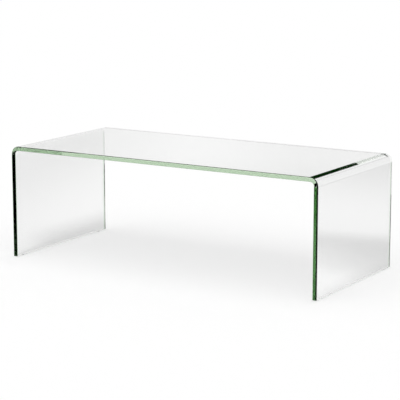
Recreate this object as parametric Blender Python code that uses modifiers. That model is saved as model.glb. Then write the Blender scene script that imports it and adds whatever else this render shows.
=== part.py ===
"""Waterfall coffee table: one thick pane of clear glass, bent down at both ends, on clear stick-on pads.

Metres, +Z up. X runs along the table, Y across it. The origin is on the floor, under the middle of the top.
"""

import math

import bmesh
import bpy
from mathutils import Vector

# Driving dimensions of the pane
TABLE_LENGTH = 1.003
TABLE_WIDTH = 0.457
TABLE_HEIGHT = 0.330
GLASS_THICKNESS = 0.0127
BEND_INNER_RADIUS = 0.0097
EASE_INNER_RADIUS = 0.0473
EASE_ANGLE = math.radians(8)
EDGE_ROUND = 0.0035
FOOT_SEAM = 0.0004

# Pads and the adhesive discs that hold them to the foot edges
PAD_HEIGHT = 0.0016
PAD_EDGE_ROUND = 0.0006
PAD_EDGE_SETBACK = 0.0012
PAD_END_INSET = 0.035
ADHESIVE_THICKNESS = 0.0004
ADHESIVE_RIM_SETBACK = 0.0005
SEAT_GAP = 0.0003

# Facets of the round forms
BEND_SEGMENTS = 16
EASE_SEGMENTS = 2
EDGE_SEGMENTS = 5
PAD_TURN_STEPS = 32
PAD_ROUND_SEGMENTS = 4
SMOOTH_ANGLE = math.radians(30)
FOOT_CORNER_ANGLE = math.radians(60)

# Sizes that follow from the ones above
BEND_OUTER_RADIUS = BEND_INNER_RADIUS + GLASS_THICKNESS
EASE_OUTER_RADIUS = EASE_INNER_RADIUS + GLASS_THICKNESS
EASE_SHIFT = EASE_OUTER_RADIUS - BEND_OUTER_RADIUS
BEND_REACH = BEND_OUTER_RADIUS + EASE_SHIFT * (1 + math.sin(EASE_ANGLE) - math.cos(EASE_ANGLE))
BEND_DEPTH = BEND_REACH - EASE_SHIFT * math.sin(EASE_ANGLE)
BEND_ANGLE = math.radians(90) - 2 * EASE_ANGLE
FOOT_FLAT = GLASS_THICKNESS - 2 * FOOT_SEAM
PAD_RADIUS = FOOT_FLAT / 2 - PAD_EDGE_SETBACK
ADHESIVE_RADIUS = PAD_RADIUS - ADHESIVE_RIM_SETBACK
ADHESIVE_BASE = PAD_HEIGHT + SEAT_GAP
FOOT_RISE = ADHESIVE_BASE + ADHESIVE_THICKNESS + SEAT_GAP
FOOT_X = (TABLE_LENGTH - GLASS_THICKNESS) / 2
FOOT_Y = TABLE_WIDTH / 2 - PAD_END_INSET

# Arcs of a bend from its leg to the top: how far the centre lies in from the leg's outer face and how far
# below the top, then the turn and its facets
BEND_ARCS = (
    (EASE_OUTER_RADIUS, BEND_REACH, EASE_ANGLE, EASE_SEGMENTS),
    (BEND_DEPTH, BEND_DEPTH, BEND_ANGLE, BEND_SEGMENTS),
    (BEND_REACH, EASE_OUTER_RADIUS, EASE_ANGLE, EASE_SEGMENTS),
)


def clear_scene():
    """Start from an empty file."""
    for leftover in list(bpy.data.objects):
        bpy.data.objects.remove(leftover, do_unlink=True)


def clear_material(name, colour, roughness, ior, transmission):
    """A plain see-through finish: colour, polish, how it bends light and how much it lets through."""
    material = bpy.data.materials.new(name)
    material.use_nodes = True
    shader = material.node_tree.nodes["Principled BSDF"]
    shader.inputs["Base Color"].default_value = (*colour, 1.0)
    shader.inputs["Roughness"].default_value = roughness
    shader.inputs["Metallic"].default_value = 0.0
    shader.inputs["IOR"].default_value = ior
    shader.inputs["Transmission Weight"].default_value = transmission
    return material


def add_piece(name, mesh, material, collection):
    """Put a finished mesh in the table's collection under the piece's own name."""
    mesh.materials.append(material)
    piece = bpy.data.objects.new(name, mesh)
    collection.objects.link(piece)
    return piece


def rim_edges(bm, corners):
    """The edges that join these corners to each other."""
    corners = set(corners)
    return [edge for edge in bm.edges if corners.issuperset(edge.verts)]


def edge_section(bm):
    """Rim of the section at the foot of the left leg, its corners rounded as the edges are polished."""
    bmesh.ops.create_grid(bm, x_segments=1, y_segments=1, size=0.5)
    bmesh.ops.scale(bm, vec=(GLASS_THICKNESS, TABLE_WIDTH, 1), verts=bm.verts[:])
    bmesh.ops.bevel(
        bm, geom=bm.verts[:], offset=EDGE_ROUND, offset_type="OFFSET", affect="VERTICES",
        segments=EDGE_SEGMENTS, profile=0.5, clamp_overlap=True, material=-1,
    )
    bmesh.ops.translate(bm, vec=(-FOOT_X, 0, FOOT_RISE), verts=bm.verts[:])
    bmesh.ops.delete(bm, geom=bm.faces[:], context="FACES_ONLY")
    return bm.edges[:]


def draw_straight(bm, rim, step):
    """Draw the section straight on by a step and give back its new rim."""
    drawn = bmesh.ops.extrude_edge_only(bm, edges=rim)["geom"]
    corners = [item for item in drawn if isinstance(item, bmesh.types.BMVert)]
    bmesh.ops.translate(bm, verts=corners, vec=step)
    return rim_edges(bm, corners)


def draw_bend(bm, rim, side):
    """Turn the section a quarter round at the left (side -1) or right end, as hot glass sags over a former.

    The glass eases into the tight bend and out of it again, and keeps its thickness all the way.
    """
    arcs = BEND_ARCS if side < 0 else BEND_ARCS[::-1]
    for inset, depth, turn, steps in arcs:
        centre = (side * (TABLE_LENGTH / 2 - inset), 0, TABLE_HEIGHT - depth)
        corners = list({corner for edge in rim for corner in edge.verts})
        bent = bmesh.ops.spin(bm, geom=corners + rim, cent=centre, axis=(0, 1, 0), angle=turn, steps=steps)
        rim = rim_edges(bm, [item for item in bent["geom_last"] if isinstance(item, bmesh.types.BMVert)])
    return rim


def glass_pane(collection, material):
    """The bent pane: its section drawn up the left leg, across the top and down the right leg."""
    leg_run = TABLE_HEIGHT - BEND_REACH - FOOT_RISE
    top_run = TABLE_LENGTH - 2 * BEND_REACH

    bm = bmesh.new()
    rim = edge_section(bm)
    rim = draw_straight(bm, rim, (0, 0, leg_run))
    rim = draw_bend(bm, rim, -1)
    rim = draw_straight(bm, rim, (top_run, 0, 0))
    rim = draw_bend(bm, rim, 1)
    draw_straight(bm, rim, (0, 0, -leg_run))
    bmesh.ops.holes_fill(bm, edges=bm.edges[:], sides=0)
    bmesh.ops.recalc_face_normals(bm, faces=bm.faces[:])

    mesh = bpy.data.meshes.new("glass_pane")
    bm.to_mesh(mesh)
    bm.free()
    mesh.shade_smooth()
    mesh.set_sharp_from_angle(angle=SMOOTH_ANGLE)
    pane = add_piece("glass_pane", mesh, material, collection)

    # The foot rims are only seamed, so that they don't cut
    seam = pane.modifiers.new("foot_seam", "BEVEL")
    seam.width = FOOT_SEAM
    seam.segments = 1
    seam.limit_method = "ANGLE"
    seam.angle_limit = FOOT_CORNER_ANGLE
    return pane


def turned_piece(name, profile, collection, material):
    """A round piece from its half profile, which runs down the outer side from the axis to the axis."""
    bm = bmesh.new()
    points = [bm.verts.new((radius, 0, height)) for radius, height in profile]
    for upper, lower in zip(points, points[1:]):
        bm.edges.new((upper, lower))
    mesh = bpy.data.meshes.new(name)
    bm.to_mesh(mesh)
    bm.free()
    piece = add_piece(name, mesh, material, collection)
    turn = piece.modifiers.new("turn", "SCREW")
    turn.steps = PAD_TURN_STEPS
    turn.render_steps = PAD_TURN_STEPS
    turn.use_merge_vertices = True
    turn.merge_threshold = 0.00001
    return piece


def pad_profile():
    """Flat top against the adhesive, straight rim, rounded lower edge and flat underside."""
    profile = [(0, PAD_HEIGHT), (PAD_RADIUS, PAD_HEIGHT)]
    for index in range(PAD_ROUND_SEGMENTS + 1):
        turn = math.radians(90) * index / PAD_ROUND_SEGMENTS
        radius = PAD_RADIUS - PAD_EDGE_ROUND * (1 - math.cos(turn))
        profile.append((radius, PAD_EDGE_ROUND * (1 - math.sin(turn))))
    profile.append((0, 0))
    return profile


def adhesive_profile():
    """A plain flat disc."""
    return [
        (0, ADHESIVE_THICKNESS),
        (ADHESIVE_RADIUS, ADHESIVE_THICKNESS),
        (ADHESIVE_RADIUS, 0),
        (0, 0),
    ]


def main():
    clear_scene()
    table = bpy.data.collections.new("waterfall_coffee_table")
    bpy.context.scene.collection.children.link(table)

    glass = clear_material("clear_float_glass", (0.86, 0.93, 0.87), 0.02, 1.52, 1.0)
    soft_clear = clear_material("clear_polyurethane", (0.90, 0.91, 0.90), 0.25, 1.49, 0.85)
    gel = clear_material("adhesive_gel", (0.88, 0.88, 0.86), 0.40, 1.47, 0.70)

    glass_pane(table, glass)
    for side_x, side in ((-1, "left"), (1, "right")):
        for side_y, end in ((-1, "front"), (1, "back")):
            place = Vector((side_x * FOOT_X, side_y * FOOT_Y, 0))
            pad = turned_piece("foot_pad_%s_%s" % (end, side), pad_profile(), table, soft_clear)
            pad.location = place
            disc = turned_piece("pad_adhesive_%s_%s" % (end, side), adhesive_profile(), table, gel)
            disc.location = place + Vector((0, 0, ADHESIVE_BASE))


main()
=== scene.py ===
# %% [markdown]
# # A waterfall coffee table in bent glass
# The real table is a single pane of thick float glass. It was cut flat, its edges were ground and polished,
# and then it was heated until both ends sagged down over a former. So the top and both legs are one piece,
# and all the looks of the table come from what glass does with light. This lesson builds that pane, the
# clear pads under it, and a small white studio with dark flags, because glass shows only what stands around
# it.

# %% Load the frame
import math

import bmesh
import bpy
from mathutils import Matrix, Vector


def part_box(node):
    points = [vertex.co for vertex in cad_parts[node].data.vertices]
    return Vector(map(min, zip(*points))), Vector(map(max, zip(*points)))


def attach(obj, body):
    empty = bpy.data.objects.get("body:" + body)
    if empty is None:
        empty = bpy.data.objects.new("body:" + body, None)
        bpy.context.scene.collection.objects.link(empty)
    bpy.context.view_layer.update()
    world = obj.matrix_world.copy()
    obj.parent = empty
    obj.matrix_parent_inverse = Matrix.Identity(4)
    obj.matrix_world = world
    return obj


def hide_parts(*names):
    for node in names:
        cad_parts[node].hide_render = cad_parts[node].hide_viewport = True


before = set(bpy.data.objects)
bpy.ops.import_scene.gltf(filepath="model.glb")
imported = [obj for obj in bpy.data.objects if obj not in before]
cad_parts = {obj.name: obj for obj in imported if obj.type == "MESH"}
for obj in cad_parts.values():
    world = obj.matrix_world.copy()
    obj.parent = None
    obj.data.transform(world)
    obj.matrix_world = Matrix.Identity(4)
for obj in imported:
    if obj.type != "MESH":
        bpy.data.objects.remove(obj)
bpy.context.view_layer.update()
scene = bpy.context.scene
print("nodes in the frame:", ", ".join(sorted(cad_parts)))

# %% [markdown]
# ## Camera
# The photograph looks down on the table from the front right with a long lens, so the far edges stay nearly
# parallel to the near ones. The camera could be placed by eye, but the pane's straight edges allow a better
# way: its place and lens are those at which all edges of a table of this size fall where the photograph has
# them.

# %% Place the camera
CAMERA_PLACE = (2.3855, -3.8760, 1.0702)
CAMERA_LENS_MM = 144.69
LOOK_DOWN = math.radians(11.026)
LOOK_ASIDE = math.radians(31.580)

lens = bpy.data.cameras.new("photo_lens")
lens.lens = CAMERA_LENS_MM
camera = bpy.data.objects.new("photo_camera", lens)
camera.location = CAMERA_PLACE
camera.rotation_euler = (math.radians(90) - LOOK_DOWN, 0, LOOK_ASIDE)
scene.collection.objects.link(camera)
scene.camera = camera
print("camera is %.2f m from the table's middle" % Vector(CAMERA_PLACE).length)

# %% [markdown]
# ## Shader sums
# Finishes are sums of patterns. Blender writes a sum as a chain of Math nodes, which is hard to read in a
# script, so a small class wraps one socket and turns Python's own signs into those nodes: `1 - mask` adds a
# Subtract node. All other nodes come from its one method `node`.


# %% Wrap a socket
class Wire:
    """One output socket in a node tree, to be used in sums and plugged into other nodes."""

    def __init__(self, tree, socket=None):
        self.tree = tree
        self.socket = socket

    def node(self, kind, settings=None, inputs=None, output=0):
        """Add a node of this kind, with its settings and its inputs, and give back one of its outputs."""
        made = self.tree.nodes.new(kind)
        for name, value in (settings or {}).items():
            setattr(made, name, value)
        for name, value in (inputs or {}).items():
            self.plug(value, made.inputs[name])
        return Wire(self.tree, made.outputs[output])

    def plug(self, value, socket):
        """Link a wire to a socket, or set a plain value on it."""
        if isinstance(value, Wire):
            self.tree.links.new(value.socket, socket)
        else:
            socket.default_value = value

    def math(self, operation, first, second=0.0):
        return self.node("ShaderNodeMath", {"operation": operation}, {0: first, 1: second})

    def __add__(self, other):
        return self.math("ADD", self, other)

    def __radd__(self, other):
        return self.math("ADD", other, self)

    def __sub__(self, other):
        return self.math("SUBTRACT", self, other)

    def __rsub__(self, other):
        return self.math("SUBTRACT", other, self)

    def __mul__(self, other):
        return self.math("MULTIPLY", self, other)

    def __rmul__(self, other):
        return self.math("MULTIPLY", other, self)

    def __truediv__(self, other):
        return self.math("DIVIDE", self, other)

    def __abs__(self):
        return self.math("ABSOLUTE", self)

    def ramp(self, low, high):
        """0 at low, 1 at high, with a soft start and end. High may be the smaller one."""
        bounds = {"Value": self, "From Min": low, "From Max": high}
        return self.node("ShaderNodeMapRange", {"interpolation_type": "SMOOTHSTEP"}, bounds)

    def blend(self, first, second):
        """The first colour where this wire is 0, the second where it is 1."""
        colours = {"Factor": self, "A": first, "B": second}
        return self.node("ShaderNodeMix", {"data_type": "RGBA"}, colours, "Result")


def object_place(tree):
    """Object coordinates, which are metres in the table's own frame, and their three parts."""
    place = Wire(tree).node("ShaderNodeTexCoord", output="Object")
    parts = place.node("ShaderNodeSeparateXYZ", inputs={"Vector": place}).socket.node.outputs
    return place, *(Wire(tree, part) for part in parts)


def grey(level):
    return (level, level, level, 1.0)


print("sums ready: + - * / abs ramp blend")

# %% [markdown]
# ## The bent pane
# Half-inch glass, bent round a tight former. Hot glass doesn't turn a corner at once: it eases into the
# bend, turns tightly and eases out again, and the wall stays equally thick all the way. A box with bevels
# could look alike from afar, but a bevel neither eases in nor keeps the wall. So this follows the real
# order: first the section of the polished edge, a long slim rectangle with rounded corners. Then this
# section is drawn up one leg, spun round three arcs that make up a quarter turn, drawn along the top, spun
# again and drawn down.

# %% Sizes of the pane
GLASS_THICKNESS = 0.0127
BEND_INNER_RADIUS = 0.0097
EASE_INNER_RADIUS = 0.0473
EASE_ANGLE = math.radians(8)
EDGE_ROUND = 0.0035
FOOT_SEAM = 0.0001
EDGE_STEPS = 8
BEND_STEPS = 60
EASE_STEPS = 12

pane_low, pane_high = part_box("glass_pane")
half_length = pane_high.x
half_width = pane_high.y
foot_rise = pane_low.z
top_height = pane_high.z
ease_shift = EASE_INNER_RADIUS - BEND_INNER_RADIUS
ease_outer_radius = EASE_INNER_RADIUS + GLASS_THICKNESS
bend_outer_radius = BEND_INNER_RADIUS + GLASS_THICKNESS
bend_reach = bend_outer_radius + ease_shift * (1 + math.sin(EASE_ANGLE) - math.cos(EASE_ANGLE))
bend_depth = bend_reach - ease_shift * math.sin(EASE_ANGLE)
bend_angle = math.radians(90) - 2 * EASE_ANGLE
# Arcs from the leg to the top: the centre's distance from the leg's outer face and from the top, turn, steps
bend_arcs = (
    (ease_outer_radius, bend_reach, EASE_ANGLE, EASE_STEPS),
    (bend_depth, bend_depth, bend_angle, BEND_STEPS),
    (bend_reach, ease_outer_radius, EASE_ANGLE, EASE_STEPS),
)
print("pane %.0f x %.0f mm, top at %.0f mm" % (2000 * half_length, 2000 * half_width, 1000 * top_height))


# %% Draw and bend a section
def rim_between(bm, corners):
    """The edges that join these corners to each other."""
    corners = set(corners)
    return [edge for edge in bm.edges if corners.issuperset(edge.verts)]


def only_corners(geometry):
    return [item for item in geometry if isinstance(item, bmesh.types.BMVert)]


def draw_straight(bm, rim, step):
    """Draw the open rim straight on and give back the new rim."""
    corners = only_corners(bmesh.ops.extrude_edge_only(bm, edges=rim)["geom"])
    bmesh.ops.translate(bm, verts=corners, vec=step)
    return rim_between(bm, corners)


def draw_bend(bm, rim, side):
    """Bend the open rim a quarter turn at the left (side -1) or right end and give back the new rim."""
    arcs = bend_arcs if side < 0 else bend_arcs[::-1]
    for inset, depth, turn, steps in arcs:
        centre = (side * (half_length - inset), 0, top_height - depth)
        corners = list({corner for edge in rim for corner in edge.verts})
        bent = bmesh.ops.spin(bm, geom=corners + rim, cent=centre, axis=(0, 1, 0), angle=turn, steps=steps)
        rim = rim_between(bm, only_corners(bent["geom_last"]))
    return rim


def edge_section(bm):
    """The rim of the polished edge's section, at the foot of the left leg."""
    bmesh.ops.create_grid(bm, x_segments=1, y_segments=1, size=0.5)
    bmesh.ops.scale(bm, vec=(GLASS_THICKNESS, 2 * half_width, 1), verts=bm.verts[:])
    bmesh.ops.bevel(
        bm, geom=bm.verts[:], offset=EDGE_ROUND, affect="VERTICES",
        segments=EDGE_STEPS, profile=0.5, material=-1,
    )
    foot_middle = (GLASS_THICKNESS / 2 - half_length, 0, foot_rise)
    bmesh.ops.translate(bm, vec=foot_middle, verts=bm.verts[:])
    bmesh.ops.delete(bm, geom=bm.faces[:], context="FACES_ONLY")
    return bm.edges[:]


print("each bend takes up %.1f mm of the top and of its leg" % (1000 * bend_reach))

# %% [markdown]
# The foot edges carry no polish on the real pane: their sharp rims are only seamed, which is a hair-fine
# chamfer that keeps them from cutting. After that, all faces are shaded smooth and a Weighted Normal
# modifier lets the wide flat faces set the shading where they run into a bend. Without it, the flat faces
# would pick up a false curve there, and glass shows even half a degree of it.

# %% Make the pane
SEAM_CORNER = math.radians(60)
SMOOTH_BELOW = math.radians(30)
GLASS_DENSITY = 2500


def new_piece(name, bm, material):
    """Turn a finished bmesh into an object of the scene that moves with the table."""
    mesh = bpy.data.meshes.new(name)
    bm.to_mesh(mesh)
    bm.free()
    mesh.shade_smooth()
    mesh.set_sharp_from_angle(angle=SMOOTH_BELOW)
    mesh.materials.append(material)
    piece = bpy.data.objects.new(name, mesh)
    scene.collection.objects.link(piece)
    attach(piece, "root")
    return piece


def bent_pane(material):
    """Draw the section up the left leg, across the top and down the right leg."""
    bm = bmesh.new()
    leg_run = top_height - bend_reach - foot_rise
    top_run = 2 * (half_length - bend_reach)
    rim = edge_section(bm)
    rim = draw_straight(bm, rim, (0, 0, leg_run))
    rim = draw_bend(bm, rim, -1)
    rim = draw_straight(bm, rim, (top_run, 0, 0))
    rim = draw_bend(bm, rim, 1)
    draw_straight(bm, rim, (0, 0, -leg_run))
    bmesh.ops.holes_fill(bm, edges=bm.edges[:], sides=0)
    bmesh.ops.recalc_face_normals(bm, faces=bm.faces[:])
    foot_rims = [edge for edge in bm.edges if edge.calc_face_angle() > SEAM_CORNER]
    bmesh.ops.bevel(
        bm, geom=foot_rims, offset=FOOT_SEAM, affect="EDGES", segments=1, profile=0.5, material=-1,
    )
    print("pane: %d faces, %.2f kg of glass" % (len(bm.faces), bm.calc_volume() * GLASS_DENSITY))
    pane = new_piece("bent_glass_pane", bm, material)
    shading = pane.modifiers.new("flat_faces_lead", "WEIGHTED_NORMAL")
    shading.keep_sharp = True
    return pane


print("rims sharper than %.0f degrees get a seam" % math.degrees(SEAM_CORNER))

# %% [markdown]
# ## Glass
# Float glass is clear through its 12.7 mm, and green where it is seen end on, because a trace of iron takes
# out red and blue over a long way. A Volume Absorption does that for every path by itself. The photograph's
# leg edges are far deeper green than its top edge, and deepest in their upper half, so the polished rims
# also get a painted tint, which light takes on as it enters them: pale green at the top, and in the legs a
# dark green that is painted shade, darkest in their upper half. Light that comes to a rim from inside
# leaves it with little colour, and it leaves the top's long rims straight, as if they were not there.

# %% Tints of the glass
GLASS_IOR = 1.52
IRON_GREEN = (0.187, 0.533, 0.097, 1.0)
IRON_DENSITY = 0.4
FACE_TINT = (0.95, 0.95, 0.95, 1.0)
TOP_RIM_TINT = (0.365, 0.525, 0.335, 1.0)
# The legs' rim tints are painted shade over the glass's green: dark in the legs, darkest in their upper
# half.
LEG_RIM_TINT_AND_SHADE = (0.023, 0.110, 0.019, 1.0)
UPPER_LEG_RIM_PAINTED_SHADE = (0.006, 0.050, 0.004, 1.0)
LEG_EXIT_TINT = (0.56, 0.70, 0.55, 1.0)
OPEN_IOR = 1.001
RIM_DEPTH = 0.0034
RIM_FADE = 0.0004
LEG_TINT_HIGH = 0.3075
LEG_TINT_LOW = 0.3035
UPPER_SHADE_HIGH = 0.235
UPPER_SHADE_LOW = 0.180


def rim_mask(across):
    """1 on the polished rims at the front and the back, 0 on the faces."""
    rim_start = half_width - RIM_DEPTH
    return abs(across).ramp(rim_start - RIM_FADE, rim_start + RIM_FADE)


def rim_tint_and_painted_shade(height):
    """Tint on the way in: pale green at the top, and painted shade in the legs, darkest in their upper half.
    """
    leg_tint_and_shade = height.ramp(UPPER_SHADE_LOW, UPPER_SHADE_HIGH).blend(LEG_RIM_TINT_AND_SHADE, UPPER_LEG_RIM_PAINTED_SHADE)
    return height.ramp(LEG_TINT_HIGH, LEG_TINT_LOW).blend(TOP_RIM_TINT, leg_tint_and_shade)


print("rims are tinted from %.1f mm in" % (1000 * RIM_DEPTH))

# %% [markdown]
# The left leg's front edge is black in the photograph, and so is a small mark where the front edge turns
# down into the right leg. Light there is mirrored to and fro so often that nothing of it comes out again.
# Blender's own limit on mirrored steps would do it, but it holds for the whole pane, and at that number it
# would make the dark wedge along the right bend too long. So the glass itself counts the steps of light
# that comes out of the rim of a leg and paints the rim black, as painted shade, for light past that count.
# High up in the right leg it allows one step less.
#
# The faces are wiped clean, yet no polish is perfect: faint cloudy wipe marks move the roughness a little.
# The feet are ground, which makes them satin and draws a thin grey line along them.

# %% Lost light and roughness
LEG_LOST_AFTER = 12
HIGH_LOST_AFTER = 11
HIGH_START = 0.08
HIGH_FULL = 0.12
BEND_FADE = 0.01
WIPE_ROUGHNESS = 0.02
WIPE_SCALE = 9.0
WIPE_DETAIL = 4.0
GROUND_ROUGHNESS = 0.20
GROUND_HEIGHT = 0.0004
GROUND_FADE = 0.0003


def lost_light(along, height):
    """1 for light that was mirrored too often in a leg, where the rim is painted black, 0 for all other
    light.
    """
    mirrors = along.node("ShaderNodeLightPath", output="Glossy Depth")
    bend_start = half_length - bend_reach
    legs = abs(along).ramp(bend_start - BEND_FADE, bend_start)
    high_right = along.ramp(bend_start - BEND_FADE, bend_start) * height.ramp(HIGH_START, HIGH_FULL)
    lost_in_legs = mirrors.ramp(LEG_LOST_AFTER, LEG_LOST_AFTER + 1) * legs
    lost_high_right = mirrors.ramp(HIGH_LOST_AFTER, HIGH_LOST_AFTER + 1) * high_right
    return along.math("MAXIMUM", lost_in_legs, lost_high_right)


def wiped_and_ground(place, height):
    """Roughness: wipe marks on the faces and rims, ground feet."""
    clouds = {"Vector": place, "Scale": WIPE_SCALE, "Detail": WIPE_DETAIL}
    wipes = place.node("ShaderNodeTexNoise", inputs=clouds, output="Fac")
    ground_top = foot_rise + GROUND_HEIGHT
    ground = height.ramp(ground_top + GROUND_FADE, ground_top)
    return wipes * WIPE_ROUGHNESS + ground * GROUND_ROUGHNESS


print("light is lost in the legs after %d mirrored steps" % LEG_LOST_AFTER)


# %% Finish of the glass
def polished_glass():
    material = bpy.data.materials.new("polished_float_glass")
    material.use_nodes = True
    tree = material.node_tree
    shader = tree.nodes["Principled BSDF"]
    output = tree.nodes["Material Output"]
    shader.inputs["IOR"].default_value = GLASS_IOR
    shader.inputs["Transmission Weight"].default_value = 1.0

    place, along, across, height = object_place(tree)
    rim = rim_mask(across)
    leg = height.ramp(LEG_TINT_HIGH, LEG_TINT_LOW)
    inside = place.node("ShaderNodeNewGeometry", output="Backfacing")
    lost = lost_light(along, height)
    # Light past the count paints the leg rims black: painted shade.
    exit_tint_or_painted_black = lost.blend(LEG_EXIT_TINT, grey(0.0))
    tint = rim.blend(FACE_TINT, inside.blend(rim_tint_and_painted_shade(height), exit_tint_or_painted_black))
    place.plug(tint, shader.inputs["Base Color"])
    place.plug(wiped_and_ground(place, height), shader.inputs["Roughness"])

    straight_out = {"Roughness": 0.0, "IOR": OPEN_IOR, "Transmission Weight": 1.0}
    # The open rims are painted black for that light as well: painted shade.
    straight_out["Base Color"] = lost.blend(grey(1.0), grey(0.0))
    open_rim = place.node("ShaderNodeBsdfPrincipled", inputs=straight_out)
    both = {0: rim * inside * (1 - leg), 1: Wire(tree, shader.outputs[0]), 2: open_rim}
    place.plug(place.node("ShaderNodeMixShader", inputs=both), output.inputs["Surface"])

    absorbed = {"Color": IRON_GREEN, "Density": IRON_DENSITY}
    place.plug(place.node("ShaderNodeVolumeAbsorption", inputs=absorbed), output.inputs["Volume"])
    return material


pane = bent_pane(polished_glass())
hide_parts("glass_pane")

# %% [markdown]
# ## Clear pads
# Under each end of both feet sits a small stick-on pad, so that the glass never stands on a hard floor.
# Such pads are cast drops of soft polyurethane: a disc with a rounded lower rim, and a shallow dish where
# it shrank as it set. A cone primitive with equal radii gives the disc, an inset makes the dish, and bevels
# round the rims.

# %% Pads
PAD_SIDES = 64
PAD_LOWER_ROUND = 0.0006
PAD_UPPER_ROUND = 0.0001
PAD_ROUND_STEPS = 5
PAD_RING_WIDTH = 0.0016
PAD_DISH_DEPTH = 0.00012
SAME_HEIGHT = 0.000001


def rims_at(bm, height):
    """The edges that lie at one height."""
    level = {corner for corner in bm.verts if abs(corner.co.z - height) < SAME_HEIGHT}
    return [edge for edge in bm.edges if level.issuperset(edge.verts)]


def disc_between(bm, low, high, sides):
    """A round disc that fills the box between two corners."""
    size = high - low
    bmesh.ops.create_cone(
        bm, cap_ends=True, cap_tris=False, segments=sides,
        radius1=size.x / 2, radius2=size.x / 2, depth=size.z,
    )
    bmesh.ops.translate(bm, verts=bm.verts[:], vec=(low + high) / 2)


def round_rim(bm, height, radius):
    bmesh.ops.bevel(
        bm, geom=rims_at(bm, height), offset=radius, affect="EDGES",
        segments=PAD_ROUND_STEPS, profile=0.5, material=-1,
    )


def foot_pad(name, node, material):
    low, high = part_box(node)
    bm = bmesh.new()
    disc_between(bm, low, high, PAD_SIDES)
    round_rim(bm, low.z, PAD_LOWER_ROUND)
    round_rim(bm, high.z, PAD_UPPER_ROUND)
    underside = min(bm.faces, key=lambda face: face.calc_center_median().z)
    bmesh.ops.inset_region(bm, faces=[underside], thickness=PAD_RING_WIDTH, depth=-PAD_DISH_DEPTH)
    pad = new_piece(name, bm, material)
    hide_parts(node)
    return pad


print("pads have a dish of %.2f mm" % (1000 * PAD_DISH_DEPTH))

# %% Finish of the pads
PAD_IOR = 1.49
PAD_CLEAR = (0.93, 0.94, 0.93, 1.0)
PAD_CLOUDY = (0.84, 0.86, 0.84, 1.0)
PAD_CLOUD_SCALE = 400.0
PAD_CLOUD_DETAIL = 3.0
PAD_CLOUD_THIN = 0.35
PAD_CLOUD_THICK = 0.70
PAD_ROUGHNESS = 0.12
PAD_CLOUD_ROUGHNESS = 0.20


def cast_polyurethane():
    material = bpy.data.materials.new("cast_polyurethane")
    material.use_nodes = True
    tree = material.node_tree
    shader = tree.nodes["Principled BSDF"]
    shader.inputs["IOR"].default_value = PAD_IOR
    shader.inputs["Transmission Weight"].default_value = 1.0
    place, *_ = object_place(tree)
    pattern = {"Vector": place, "Scale": PAD_CLOUD_SCALE, "Detail": PAD_CLOUD_DETAIL}
    clouds = place.node("ShaderNodeTexNoise", inputs=pattern, output="Fac")
    colour = clouds.ramp(PAD_CLOUD_THIN, PAD_CLOUD_THICK).blend(PAD_CLEAR, PAD_CLOUDY)
    place.plug(colour, shader.inputs["Base Color"])
    place.plug(PAD_ROUGHNESS + clouds * PAD_CLOUD_ROUGHNESS, shader.inputs["Roughness"])
    return material


SIDES = ("left", "right")
ENDS = ("front", "back")
pad_finish = cast_polyurethane()
for end in ENDS:
    for side in SIDES:
        pad = foot_pad("clear_pad_%s_%s" % (end, side), "foot_pad_%s_%s" % (end, side), pad_finish)
print("four pads, %.1f mm across" % (1000 * pad.dimensions.x))

# %% [markdown]
# ## Adhesive
# Each pad is held by a thin disc of clear gel. The gel wets both faces that it joins, so it fills the seam
# between pad and glass up to a hair, and its rim is round where the pad was pressed on. The disc is made as
# the pads are, and small bubbles give it a pattern of clearer specks.

# %% Adhesive discs
GEL_SIDES = 48
GEL_REACH = 0.00025
GEL_RIM_ROUND = 0.0003
GEL_IOR = 1.47
GEL_CLEAR = (0.90, 0.90, 0.88, 1.0)
GEL_BUBBLE = (0.98, 0.98, 0.97, 1.0)
GEL_BUBBLE_SCALE = 900.0
GEL_BUBBLE_RIM = 0.35
GEL_BUBBLE_CORE = 0.15
GEL_ROUGHNESS = 0.3
GEL_BUBBLE_GLOSS = 0.2


def adhesive_disc(name, node, material):
    low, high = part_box(node)
    low.z -= GEL_REACH
    high.z += GEL_REACH
    bm = bmesh.new()
    disc_between(bm, low, high, GEL_SIDES)
    round_rim(bm, low.z, GEL_RIM_ROUND)
    round_rim(bm, high.z, GEL_RIM_ROUND)
    disc = new_piece(name, bm, material)
    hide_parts(node)
    return disc


def adhesive_gel():
    material = bpy.data.materials.new("adhesive_gel")
    material.use_nodes = True
    tree = material.node_tree
    shader = tree.nodes["Principled BSDF"]
    shader.inputs["IOR"].default_value = GEL_IOR
    shader.inputs["Transmission Weight"].default_value = 1.0
    place, *_ = object_place(tree)
    pattern = {"Vector": place, "Scale": GEL_BUBBLE_SCALE}
    specks = place.node("ShaderNodeTexVoronoi", inputs=pattern, output="Distance")
    specks = specks.ramp(GEL_BUBBLE_RIM, GEL_BUBBLE_CORE)
    place.plug(specks.blend(GEL_CLEAR, GEL_BUBBLE), shader.inputs["Base Color"])
    place.plug(GEL_ROUGHNESS - specks * GEL_BUBBLE_GLOSS, shader.inputs["Roughness"])
    return material


gel_finish = adhesive_gel()
for end in ENDS:
    for side in SIDES:
        disc = adhesive_disc("gel_disc_%s_%s" % (end, side), "pad_adhesive_%s_%s" % (end, side), gel_finish)
print("four adhesive discs, %.1f mm thick" % (1000 * disc.dimensions.z))

# %% [markdown]
# ## Floor and light
# The table stands on a wide white floor, lit evenly from all around. An even white world is the softest
# studio light there is, and on clear glass a single lamp would only add one hard spot. The floor is white
# paper on a light table: half of the white that is seen is its own, so that the thin gaps under the feet
# don't draw hard lines.

# %% White studio
FLOOR_SIDE = 60.0
FLOOR_GLOW = 0.5

world = bpy.data.worlds.new("white_studio")
world.use_nodes = True
world.node_tree.nodes["Background"].inputs["Color"].default_value = grey(1.0)
scene.world = world
scene.view_settings.view_transform = "Standard"


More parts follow.
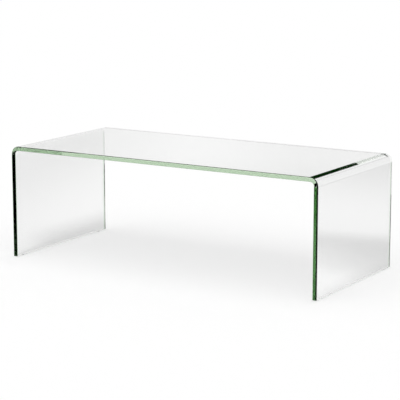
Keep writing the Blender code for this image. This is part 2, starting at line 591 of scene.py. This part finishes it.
def stage_piece(name, bm, material):
    """Turn a finished bmesh into a part of the studio."""
    mesh = bpy.data.meshes.new(name)
    bm.to_mesh(mesh)
    bm.free()
    mesh.materials.append(material)
    piece = bpy.data.objects.new(name, mesh)
    scene.collection.objects.link(piece)
    return piece


def stage_sheet(name, size, middle, material):
    """A level sheet of the studio."""
    bm = bmesh.new()
    bmesh.ops.create_grid(bm, x_segments=1, y_segments=1, size=0.5)
    bmesh.ops.scale(bm, vec=(*size, 1), verts=bm.verts[:])
    bmesh.ops.translate(bm, vec=middle, verts=bm.verts[:])
    return stage_piece(name, bm, material)


def on_way_to_floor(tree):
    """1 for light on its way to the floor, 0 for what the camera sees, straight or in the glass."""
    return Wire(tree).node("ShaderNodeLightPath", output="Diffuse Depth").ramp(0.0, 1.0)


def matt_white():
    """White paper that also glows where it is seen, so that its shadows stay light."""
    material = bpy.data.materials.new("matt_white_floor")
    material.use_nodes = True
    tree = material.node_tree
    shader = tree.nodes["Principled BSDF"]
    shader.inputs["Roughness"].default_value = 1.0
    shader.inputs["Specular IOR Level"].default_value = 0.0
    shader.inputs["Emission Strength"].default_value = 1.0
    lit = on_way_to_floor(tree)
    lit.plug(lit.blend(grey(1 - FLOOR_GLOW), grey(1.0)), shader.inputs["Base Color"])
    lit.plug(lit.blend(grey(FLOOR_GLOW), grey(0.0)), shader.inputs["Emission Color"])
    material.cycles.emission_sampling = "NONE"
    return material


stage_sheet("floor", (FLOOR_SIDE, FLOOR_SIDE), (0, 0, 0), matt_white())
print("floor of %.0f m, glow %.1f" % (FLOOR_SIDE, FLOOR_GLOW))

# %% [markdown]
# ## Flags
# White glass on white paper would vanish. Product photographers give it a drawing with flags: dark cards
# out of the picture that the polished faces mirror. Here each flag is clear to all light but the kind that
# it is there for, so it neither shows in the picture nor takes light from the floor.

# %% Flag finish
RAY_KINDS = ("camera", "diffuse", "glossy", "transmission", "volume_scatter", "shadow")


def seen_only_by(flag, *kinds):
    for kind in RAY_KINDS:
        setattr(flag, "visible_" + kind, kind in kinds)


def glowing(name, colour_of, shown_by):
    """A stage material that gives off a colour, and is clear to rays for which shown_by comes to 0."""
    material = bpy.data.materials.new(name)
    material.use_nodes = True
    material.cycles.emission_sampling = "NONE"
    tree = material.node_tree
    shader = tree.nodes["Principled BSDF"]
    shader.inputs["Base Color"].default_value = grey(0.0)
    shader.inputs["Specular IOR Level"].default_value = 0.0
    shader.inputs["Emission Strength"].default_value = 1.0
    clear = Wire(tree).node("ShaderNodeBsdfTransparent")
    clear.plug(colour_of(tree), shader.inputs["Emission Color"])
    both = {0: shown_by(tree), 1: clear, 2: Wire(tree, shader.outputs[0])}
    output = tree.nodes["Material Output"]
    clear.plug(clear.node("ShaderNodeMixShader", inputs=both), output.inputs["Surface"])
    return material


def off_floor(tree):
    """1 for what the camera sees, straight or in the glass, 0 for light on its way to the floor."""
    return 1 - on_way_to_floor(tree)


def mirrored_once(tree):
    """1 for what either face of the glass mirrors, 0 for what is seen through it."""
    mirrors = Wire(tree).node("ShaderNodeLightPath", output="Glossy Depth")
    return abs(mirrors - 1).ramp(1.0, 0.0) * off_floor(tree)


print("flags can tell apart:", ", ".join(RAY_KINDS))

# %% [markdown]
# The tent is what the top and the bends mirror: a pale band low down, a little brighter in the middle and
# grey at the right, and one dark green corner high up behind the left end. The right bend gathers that
# corner into the dark wedge along it. A second cloth shows in the inner faces only. It is grey at the right
# and dark overhead, and it draws the back edge and the far corner.

# %% Tent over the table
TENT_RADIUS = 8.0
TENT_STEPS = 48
BAND_SIDE = 0.78
BAND_MIDDLE = 0.91
GLOW_HALF_WIDTH = 0.11
RIGHT_LEVEL = 0.40
RIGHT_FULL = 0.20
CORNER_LOW = 0.20
CORNER_HIGH = 0.30
CORNER_RIGHT = 0.02
CORNER_LEFT = -0.12
CORNER_FRONT = -0.15
CORNER_BACK = 0.15
CORNER_GREEN = (0.004, 0.06, 0.004, 1.0)
SIDE_LEVEL = 0.70
CEILING_LEVEL = 0.20
CEILING_LOW = 0.58
CEILING_HIGH = 0.62


def tent_place(tree):
    """Parts of the direction in which the tent is seen from the table."""
    return [part / TENT_RADIUS for part in object_place(tree)[1:]]


def outer_colour(tree):
    along, across, height = tent_place(tree)
    sideways = along * math.cos(LOOK_ASIDE) + across * math.sin(LOOK_ASIDE)
    glow = abs(sideways).ramp(GLOW_HALF_WIDTH, 0.0)
    band = glow.blend(grey(BAND_SIDE), grey(BAND_MIDDLE))
    band = along.ramp(0.0, RIGHT_FULL).blend(band, grey(RIGHT_LEVEL))
    corner = height.ramp(CORNER_LOW, CORNER_HIGH)
    corner = corner * along.ramp(CORNER_RIGHT, CORNER_LEFT)
    corner = corner * across.ramp(CORNER_FRONT, CORNER_BACK)
    return corner.blend(band, CORNER_GREEN)


def inner_colour(tree):
    *_, height = tent_place(tree)
    return height.ramp(CEILING_LOW, CEILING_HIGH).blend(grey(SIDE_LEVEL), grey(CEILING_LEVEL))


def inner_shown(tree):
    along, _, height = tent_place(tree)
    ceiling = height.ramp(CEILING_LOW, CEILING_HIGH)
    cover = along.math("MAXIMUM", along.math("GREATER_THAN", along), ceiling)
    return cover * mirrored_once(tree)


def tent(name, material):
    """The upper half of a ball round the table."""
    bm = bmesh.new()
    bmesh.ops.create_uvsphere(bm, u_segments=TENT_STEPS * 2, v_segments=TENT_STEPS, radius=TENT_RADIUS)
    lower = [face for face in bm.faces if face.calc_center_median().z < 0]
    bmesh.ops.delete(bm, geom=lower, context="FACES")
    return stage_piece(name, bm, material)


seen_only_by(tent("outer_tent", glowing("outer_cloth", outer_colour, off_floor)), "glossy")
seen_only_by(tent("inner_tent", glowing("inner_cloth", inner_colour, inner_shown)), "transmission")
print("tent %.0f m across" % (2 * TENT_RADIUS))

# %% [markdown]
# The legs mirror the floor behind and beside the table. For that light a flag on the floor takes the floor's
# place, with painted shade and painted light. Between the legs it darkens to the right, and along the left
# foot it carries a painted shadow. Outside the right leg it has a painted bright patch near the foot, a
# painted dark streak behind that with a sharp far side, and then falls off slowly. In front of the table
# lies black cloth, which gives the front edges their black lines. The rims at the back mirror the front as
# well, from inside the glass. For them the cloth is a short strip, so that only the middle of the legs'
# back edges turns dark.

# %% Painted shade between the legs
INNER_SKEW = 0.35
INNER_LEVEL = 0.85
INNER_BRIGHT = -0.45
INNER_DARK = 0.09
FOOT_DARK = -0.42
FOOT_BRIGHT = -0.27
FOOT_OUTER = -0.52
FOOT_END = -0.60
FOOT_CURVE = 0.12
FOOT_CURVE_START = 0.10
FOOT_CURVE_END = -0.15


def skewed(along, across):
    return along - across * INNER_SKEW


def painted_shade_between_legs(along, across):
    # Painted shadow along the left foot.
    foot = along + across.ramp(FOOT_CURVE_START, FOOT_CURVE_END) * FOOT_CURVE
    foot = foot.ramp(FOOT_BRIGHT, FOOT_DARK) * along.ramp(FOOT_END, FOOT_OUTER)
    return skewed(along, across).ramp(INNER_DARK, INNER_BRIGHT) * INNER_LEVEL * (1 - foot)


print("dark along the left foot for %.0f mm" % (1000 * (FOOT_BRIGHT + half_length)))

# %% Painted light and shade outside the right leg
PATCH_SKEW = 0.40
PATCH_BRIGHT = -0.40
PATCH_DARK = 0.22
PATCH_LEVEL = 2.0
PATCH_LIMIT = 1.55
PATCH_DIP = 0.35
PATCH_DIP_START = 0.57
PATCH_DIP_END = 0.50
STREAK_SKEW = 0.27
STREAK_END = 0.64
FAR_START = 0.88
FAR_LEVEL = 0.80
BACK_LEVEL = 0.05
BACK_START = 0.8
BACK_END = 2.1
HORIZON_LEVEL = 0.75
HORIZON_START = 2.0
HORIZON_END = 3.2


def painted_light_and_shade_outside(along, across):
    # Painted bright patch near the foot, a painted dark streak behind it, and a slow fall-off.
    painted_bright_patch = (across - along * PATCH_SKEW).ramp(PATCH_DARK, PATCH_BRIGHT) * PATCH_LEVEL
    painted_bright_patch = painted_bright_patch.math("MINIMUM", painted_bright_patch, PATCH_LIMIT)
    painted_bright_patch = painted_bright_patch * (1 - along.ramp(PATCH_DIP_START, PATCH_DIP_END) * PATCH_DIP)
    far = FAR_LEVEL - across.ramp(BACK_START, BACK_END) * (FAR_LEVEL - BACK_LEVEL)
    far = far + across.ramp(HORIZON_START, HORIZON_END) * (HORIZON_LEVEL - BACK_LEVEL)
    return painted_bright_patch + (across + along * STREAK_SKEW).ramp(STREAK_END, FAR_START) * far


print("dark streak about %.1f m behind the table's middle line" % (STREAK_END - STREAK_SKEW * half_length))

# %% Flags on the floor
FLAG_SIDE = 15.0
FLAG_LIFT = 0.0008
CLOTH_GAP = 0.002
STRIP_DEPTH = 0.55
BRIGHTEST = 2.0
OUTSIDE_START = 0.37
OUTSIDE_FULL = 0.42


def black(tree):
    return grey(0.0)


# The back flag's colour: painted shade and painted light on the floor that the legs mirror.
def paper(tree):
    _, along, across, _ = object_place(tree)
    outside = skewed(along, across).ramp(OUTSIDE_START, OUTSIDE_FULL)
    level = painted_shade_between_legs(along, across) + outside * painted_light_and_shade_outside(along, across)
    return (level / BRIGHTEST).blend(grey(0.0), grey(BRIGHTEST))


def floor_flag(name, front, back, colour_of, *kinds):
    """A flag on the floor, as deep as from front to back, for these kinds of light."""
    middle = (0, (front + back) / 2, FLAG_LIFT)
    finish = glowing(name, colour_of, mirrored_once)
    flag = stage_sheet(name, (FLAG_SIDE, back - front), middle, finish)
    seen_only_by(flag, *kinds)


cloth_edge = -half_width - CLOTH_GAP
floor_flag("front_flag", cloth_edge - FLAG_SIDE, cloth_edge, black, "glossy")
floor_flag("front_strip", cloth_edge - STRIP_DEPTH, cloth_edge, black, "transmission")
floor_flag("back_flag", -half_width, FLAG_SIDE - half_width, paper, "glossy", "transmission")
print("flags of %.0f m on the floor, and a strip of %.2f m" % (FLAG_SIDE, STRIP_DEPTH))

# %% [markdown]
# A clear pane throws only a faint shadow, because it sends on most of the light that it meets. A shade
# above the camera stops the light that comes to the floor through the glass from there, which gives the
# table its soft grey shadow, a little behind it.

# %% Shade
SHADE_SIDE = 4.1
SHADE_PLACE = (0.35, -1.55, 2.2)

shade_finish = glowing("shade", black, on_way_to_floor)
seen_only_by(stage_sheet("shade", (SHADE_SIDE, SHADE_SIDE), SHADE_PLACE, shade_finish), "transmission")
print("shade of %.1f m, %.1f m above the floor" % (SHADE_SIDE, SHADE_PLACE[2]))

# %% [markdown]
# Outside the left foot the paper lies in a narrow shadow, which shows through the leg as a dark seam along
# its foot. It widens towards the back. A sheet that is clear but for this shadow gives it, and like the
# flags it is there for one kind of light only: what is seen straight through the glass.

# %% Shadow beside the left foot
SHADOW_DEPTH = 0.10
SHADOW_CORE = 0.2
SHADOW_FRONT_REACH = 0.03
SHADOW_BACK_REACH = 0.12
SHADOW_FRONT = -0.25
SHADOW_BACK = 0.15
SHADOW_SHEET_SIZE = (0.20, 0.80)


def seen_through(tree):
    """1 for what is seen straight through the glass, 0 for all other light."""
    mirrors = Wire(tree).node("ShaderNodeLightPath", output="Glossy Depth")
    return mirrors.ramp(1.0, 0.0) * off_floor(tree)


def beside_foot(tree):
    """How much of the paper's light is gone: most at the foot, nothing at the end of the shadow's reach."""
    _, along, across, _ = object_place(tree)
    widening = across.ramp(SHADOW_FRONT, SHADOW_BACK) * (SHADOW_BACK_REACH - SHADOW_FRONT_REACH)
    away = (-half_length - along) / (SHADOW_FRONT_REACH + widening)
    return away.ramp(1.0, SHADOW_CORE) * SHADOW_DEPTH * seen_through(tree)


shadow_finish = glowing("foot_shadow", black, beside_foot)
shadow_middle = (-half_length - SHADOW_SHEET_SIZE[0] / 2, 0, FLAG_LIFT / 2)
seen_only_by(stage_sheet("foot_shadow", SHADOW_SHEET_SIZE, shadow_middle, shadow_finish), "transmission")
print("shadow reaches %.0f mm from the left foot" % (1000 * SHADOW_BACK_REACH))

# %% [markdown]
# ## How far light is followed
# Light that enters an edge or a bend runs down the pane like down a fibre and meets its walls many times.
# Blender gives up after a number of mirrored steps, and what it gave up on turns black. The dark wedge
# along the right bend ends where light comes out within that number, so the number sets its length. Light
# that reaches the floor through the glass isn't blurred.

# %% Bounces
MIRROR_STEPS = 18
ALL_STEPS = 64
scene.cycles.max_bounces = ALL_STEPS
scene.cycles.transmission_bounces = ALL_STEPS
scene.cycles.glossy_bounces = MIRROR_STEPS
scene.cycles.blur_glossy = 0.0
print("light is followed for %d mirrored steps" % MIRROR_STEPS)
